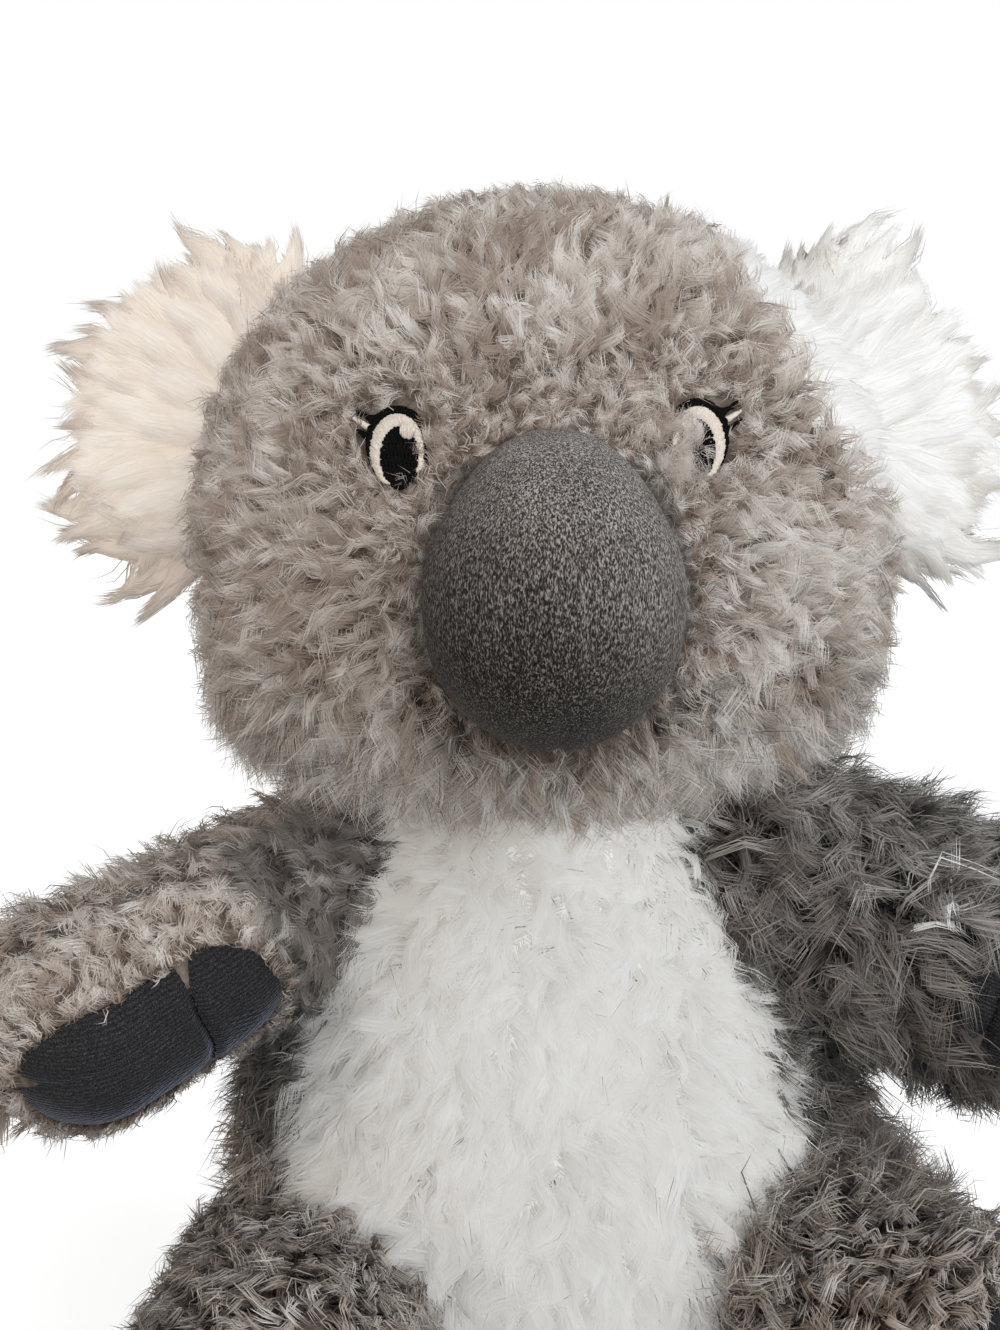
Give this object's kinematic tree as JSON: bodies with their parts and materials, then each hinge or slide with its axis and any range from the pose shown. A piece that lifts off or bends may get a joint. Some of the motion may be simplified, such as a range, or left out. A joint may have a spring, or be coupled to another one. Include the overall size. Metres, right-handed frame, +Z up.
{
  "type": "plush koala",
  "caption": "Seated plush koala with a velour nose, embroidered eyes, fringed ears, a white belly panel, knit paw pads, and soft neck, ear, shoulder and hip joints.",
  "frame": {"origin": "middle of the flat seat that the koala sits on", "axes": "+Z up, -Y the way the koala faces, +X the koala's own left"},
  "size_m": [0.2426, 0.1538, 0.2845],
  "materials": {
    "grey_plush": "curly long-pile plush, warm grey-brown with frosted tips",
    "white_plush": "soft long-pile plush, white",
    "cream_plush": "long silky pile, cream-white with grey-brown tips",
    "nose_velour": "short-pile velour, charcoal",
    "pad_knit": "brushed ribbed knit, near-black",
    "cream_thread": "satin-stitch embroidery thread, cream",
    "black_thread": "satin-stitch embroidery thread, black",
    "stuffing": "polyester fibre filling, white"
  },
  "bodies": {
    "torso": {"body_stuffing": "stuffing", "body_back_panel": "grey_plush", "belly_panel": "white_plush", "seat_panel": "grey_plush", "back_closing_stitch": "grey_plush"},
    "neck": {"neck_stuffing": "stuffing"},
    "head": {"head_stuffing": "stuffing", "face_panel": "grey_plush", "head_back_panel": "grey_plush", "nose_cover": "nose_velour", "nose_stuffing": "stuffing", "right_eye_ring": "cream_thread", "right_eye_pupil": "black_thread", "right_eye_glint": "cream_thread", "right_eye_lashes": "black_thread", "left_eye_ring": "cream_thread", "left_eye_pupil": "black_thread", "left_eye_glint": "cream_thread", "left_eye_lashes": "black_thread"},
    "right_ear": {"right_ear_front_panel": "cream_plush", "right_ear_back_panel": "grey_plush", "right_ear_stuffing": "stuffing"},
    "left_ear": {"left_ear_front_panel": "cream_plush", "left_ear_back_panel": "grey_plush", "left_ear_stuffing": "stuffing"},
    "right_arm": {"right_arm_inner_panel": "grey_plush", "right_arm_outer_panel": "grey_plush", "right_paw_pad": "pad_knit", "right_paw_stitching": "black_thread", "right_arm_stuffing": "stuffing"},
    "left_arm": {"left_arm_inner_panel": "grey_plush", "left_arm_outer_panel": "grey_plush", "left_paw_pad": "pad_knit", "left_paw_stitching": "black_thread", "left_arm_stuffing": "stuffing"},
    "right_leg": {"right_leg_panel": "grey_plush", "right_foot_pad": "pad_knit", "right_leg_stuffing": "stuffing"},
    "left_leg": {"left_leg_panel": "grey_plush", "left_foot_pad": "pad_knit", "left_leg_stuffing": "stuffing"}
  },
  "joints": [
    {"name": "neck_turn", "type": "hinge", "parent": "torso", "child": "neck", "pos_m": [0, 0, 0.169], "axis": [0, 0, 1], "range_deg": [-25, 25], "stiffness_Nm_per_rad": 0.6},
    {"name": "neck_nod", "type": "hinge", "parent": "neck", "child": "head", "pos_m": [0, 0, 0.169], "axis": [1, 0, 0], "range_deg": [-12, 12], "stiffness_Nm_per_rad": 1.5},
    {"name": "right_ear_fold", "type": "hinge", "parent": "head", "child": "right_ear", "pos_m": [-0.065, 0, 0.24], "axis": [0.342, 0, 0.9397], "range_deg": [-15, 15], "stiffness_Nm_per_rad": 0.03},
    {"name": "left_ear_fold", "type": "hinge", "parent": "head", "child": "left_ear", "pos_m": [0.065, 0, 0.24], "axis": [0.342, 0, -0.9397], "range_deg": [-15, 15], "stiffness_Nm_per_rad": 0.03},
    {"name": "right_shoulder", "type": "hinge", "parent": "torso", "child": "right_arm", "pos_m": [-0.043, -0.008, 0.14], "axis": [-0.562, 0.8271, 0], "range_deg": [-20, 20], "stiffness_Nm_per_rad": 0.25},
    {"name": "left_shoulder", "type": "hinge", "parent": "torso", "child": "left_arm", "pos_m": [0.046, -0.007, 0.143], "axis": [-0.2804, -0.9599, 0], "range_deg": [-20, 20], "stiffness_Nm_per_rad": 0.25},
    {"name": "right_hip", "type": "hinge", "parent": "torso", "child": "right_leg", "pos_m": [-0.046, -0.02, 0.041], "axis": [-0.9871, 0.1603, 0], "range_deg": [0, 25], "stiffness_Nm_per_rad": 0.4},
    {"name": "left_hip", "type": "hinge", "parent": "torso", "child": "left_leg", "pos_m": [0.046, -0.018, 0.041], "axis": [-0.6919, -0.722, 0], "range_deg": [0, 25], "stiffness_Nm_per_rad": 0.4}
  ]
}
